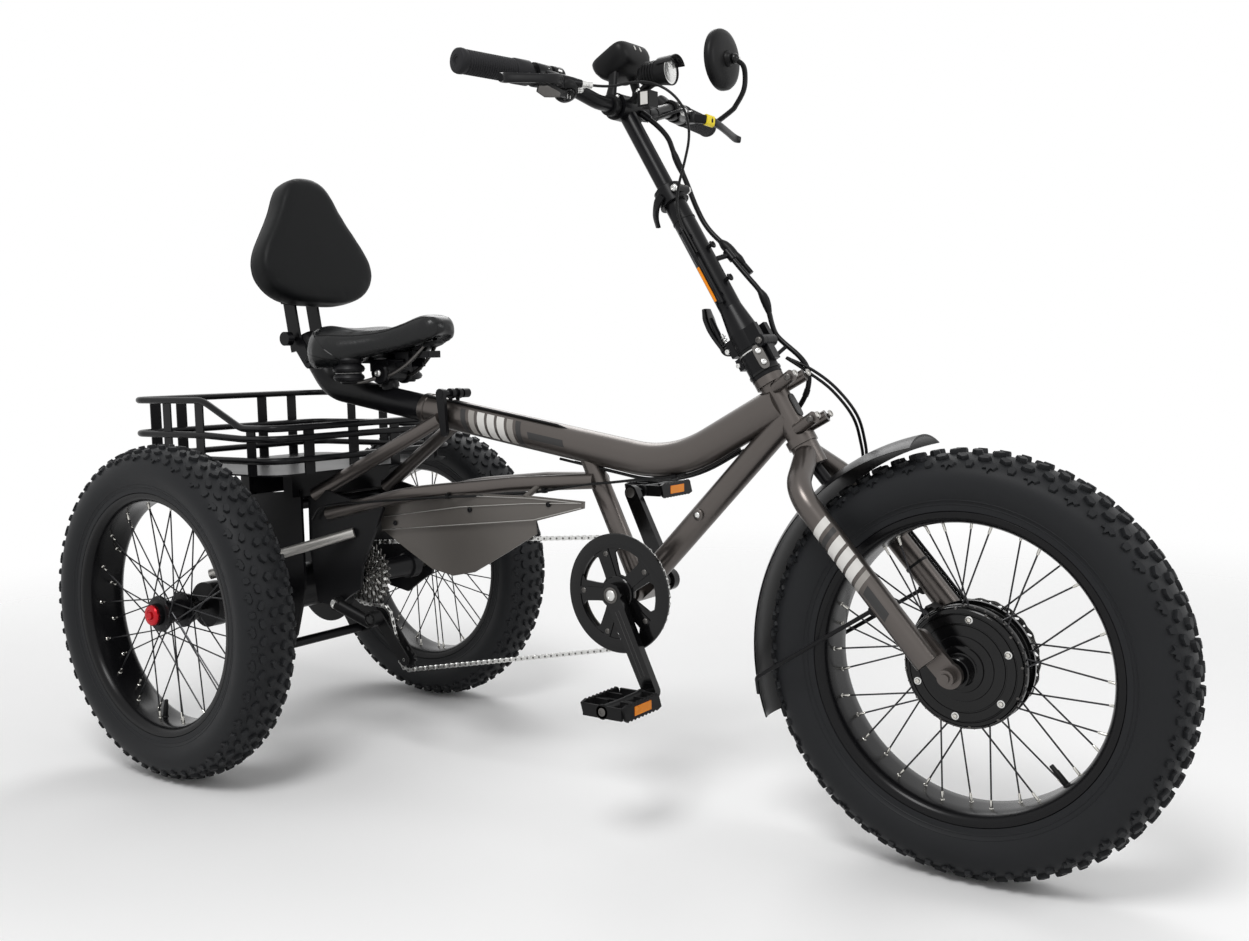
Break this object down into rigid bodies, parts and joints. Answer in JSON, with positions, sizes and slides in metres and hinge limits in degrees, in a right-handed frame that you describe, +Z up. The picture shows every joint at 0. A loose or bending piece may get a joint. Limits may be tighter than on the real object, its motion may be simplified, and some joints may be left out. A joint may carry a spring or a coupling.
{
  "type": "semi-recumbent electric tricycle",
  "caption": "Semi-recumbent electric tricycle with fat tyres, a hub motor in the front wheel, a folding stem, a padded seat with backrest and a rear basket.",
  "frame": {"origin": "on the ground, midway between the front and rear axles, in the middle plane", "axes": "+X forward, +Y to the rider's left, +Z up"},
  "size_m": [1.8732, 0.742, 1.271],
  "materials": {
    "frame_paint": "satin gunmetal paint with a metallic flake",
    "black_metal": "satin black powder coat",
    "rim_black": "satin black anodised rim with black spokes",
    "tyre_rubber": "matt black rubber with small blocks of tread",
    "guard_metal": "dark grey painted sheet",
    "brace_metal": "gunmetal painted tube",
    "steel": "bare steel, lightly oiled",
    "black_plastic": "moulded black plastic",
    "cable_jacket": "black plastic cable jacket, slightly glossy",
    "grip_rubber": "soft black rubber",
    "upholstery": "smooth black synthetic leather over foam"
  },
  "bodies": {
    "frame": {"head_tube": "frame_paint", "main_tube": "frame_paint", "down_tube": "frame_paint", "seat_strut": "frame_paint", "bottom_bracket": "frame_paint", "chain_stays": "frame_paint", "seat_stays": "frame_paint", "dropouts": "frame_paint", "axle_carrier": "black_metal", "axle_unit": "black_metal", "axle_braces": "brace_metal", "cassette": "steel", "chain": "steel", "derailleur": "black_metal", "chain_guard": "guard_metal", "basket": "black_metal", "seat_clamp": "black_metal", "frame_loom": "cable_jacket"},
    "steering": {"fork": "frame_paint", "front_fender": "black_metal", "front_caliper": "black_metal", "stem_base": "black_metal", "base_loom": "cable_jacket"},
    "front_wheel": {"front_tyre": "tyre_rubber", "front_rim": "rim_black", "hub_motor": "black_metal", "front_disc": "steel"},
    "right_wheel": {"right_tyre": "tyre_rubber", "right_rim": "rim_black", "right_hub": "black_metal"},
    "left_wheel": {"left_tyre": "tyre_rubber", "left_rim": "rim_black", "left_hub": "black_metal"},
    "crankset": {"crank_arms": "black_metal", "chainring": "black_plastic"},
    "right_foot": {"right_pedal": "black_plastic"},
    "left_foot": {"left_pedal": "black_plastic"},
    "folding_stem": {"stem_tube": "black_metal", "stem_loom": "cable_jacket"},
    "bars": {"bar_post": "black_metal", "handlebar": "black_metal", "grips": "grip_rubber", "controls": "black_plastic", "display": "black_plastic", "headlight": "black_plastic", "mirror": "black_plastic", "bar_loom": "cable_jacket", "right_cable": "cable_jacket"},
    "seat": {"seat_beam": "black_metal", "saddle": "upholstery"},
    "backrest": {"backrest_pad": "upholstery", "backrest_bracket": "black_metal"}
  },
  "joints": [
    {"name": "steer", "type": "hinge", "parent": "frame", "child": "steering", "pos_m": [0.59272, 0, 0.25803], "axis": [-0.5075, 0, 0.8616], "range_deg": [-45, 45]},
    {"name": "front_wheel_spin", "type": "hinge", "parent": "steering", "child": "front_wheel", "pos_m": [0.647, 0, 0.29], "axis": [0, 1, 0], "continuous": true},
    {"name": "right_wheel_spin", "type": "hinge", "parent": "frame", "child": "right_wheel", "pos_m": [-0.647, -0.321, 0.29], "axis": [0, 1, 0], "continuous": true},
    {"name": "left_wheel_spin", "type": "hinge", "parent": "frame", "child": "left_wheel", "pos_m": [-0.647, 0.321, 0.29], "axis": [0, 1, 0], "continuous": true},
    {"name": "crank_spin", "type": "hinge", "parent": "frame", "child": "crankset", "pos_m": [0.118, 0, 0.348], "axis": [0, 1, 0], "continuous": true},
    {"name": "right_pedal_spin", "type": "hinge", "parent": "crankset", "child": "right_foot", "pos_m": [0.19412, 0, 0.21069], "axis": [0, 1, 0], "continuous": true},
    {"name": "left_pedal_spin", "type": "hinge", "parent": "crankset", "child": "left_foot", "pos_m": [0.04188, 0, 0.48531], "axis": [0, 1, 0], "continuous": true},
    {"name": "stem_fold", "type": "hinge", "parent": "steering", "child": "folding_stem", "pos_m": [0.34476, 0, 0.72824], "axis": [0, 1, 0], "range_deg": [0, 100]},
    {"name": "bar_height", "type": "slide", "parent": "folding_stem", "child": "bars", "axis": [-0.5075, 0, 0.8616], "range_m": [-0.07, 0.04]},
    {"name": "seat_slide", "type": "slide", "parent": "frame", "child": "seat", "axis": [0.9863, 0, -0.165], "range_m": [-0.06, 0.05]},
    {"name": "backrest_height", "type": "slide", "parent": "seat", "child": "backrest", "axis": [-0.1805, 0, 0.9836], "range_m": [0, 0.05]}
  ]
}
